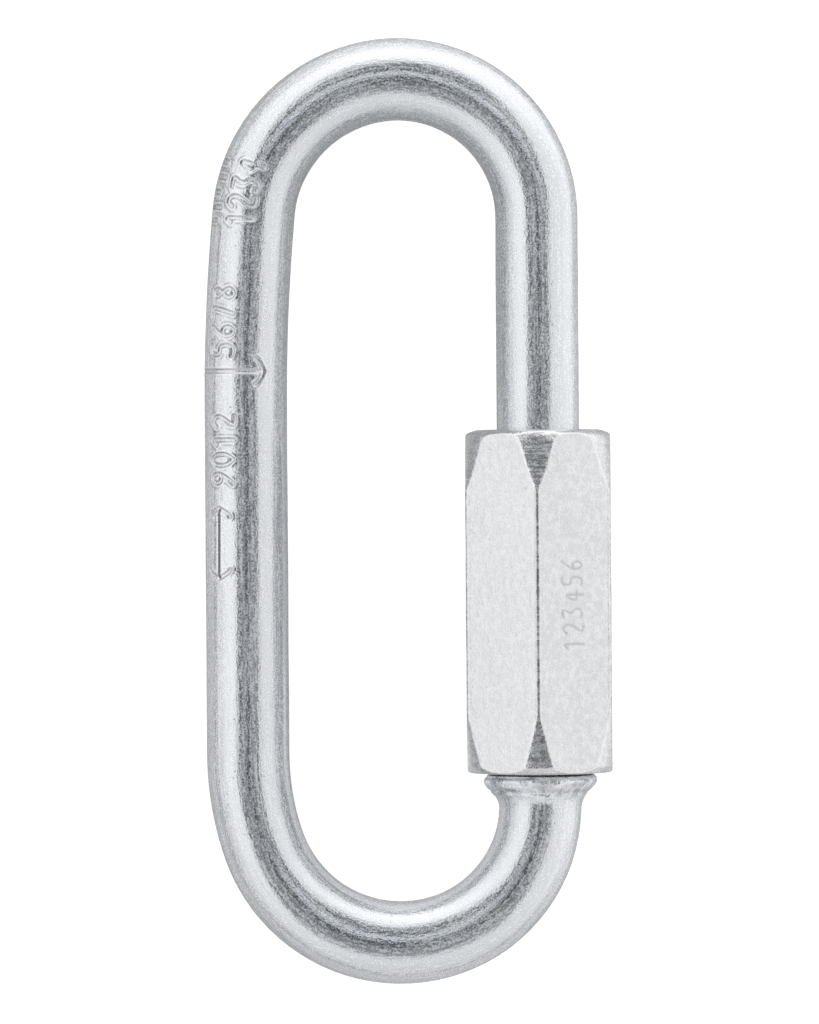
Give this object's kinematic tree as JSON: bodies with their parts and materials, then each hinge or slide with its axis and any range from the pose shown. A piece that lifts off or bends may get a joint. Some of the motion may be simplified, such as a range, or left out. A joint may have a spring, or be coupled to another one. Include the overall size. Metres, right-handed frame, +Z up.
{
  "type": "chain quick link",
  "caption": "Oval quick link of round bar with a long hexagon sleeve nut that screws up to open the gate and down onto a collar to close it.",
  "frame": {"origin": "on the table, under the middle of the box of the link as it lies at rest", "axes": "+Y along the link from the collar end to the end that the nut travels towards, +X from the plain leg to the nut leg, +Z up; the link's plane is tilted 8 degrees about Y, because the nut is thicker than the bar"},
  "size_m": [0.0396, 0.0916, 0.0159],
  "materials": {
    "bar_steel": "drawn bar, bent, zinc plated, low satin sheen with fine streaks along the bar",
    "nut_steel": "zinc plated, satin flats, turned tapers at both ends"
  },
  "bodies": {
    "link": {"link_body": "bar_steel"},
    "nut": {"sleeve_nut": "nut_steel"}
  },
  "joints": [
    {"name": "nut_travel", "type": "slide", "parent": "link", "child": "nut", "axis": [0, 1, 0], "range_m": [0, 0.02]}
  ]
}
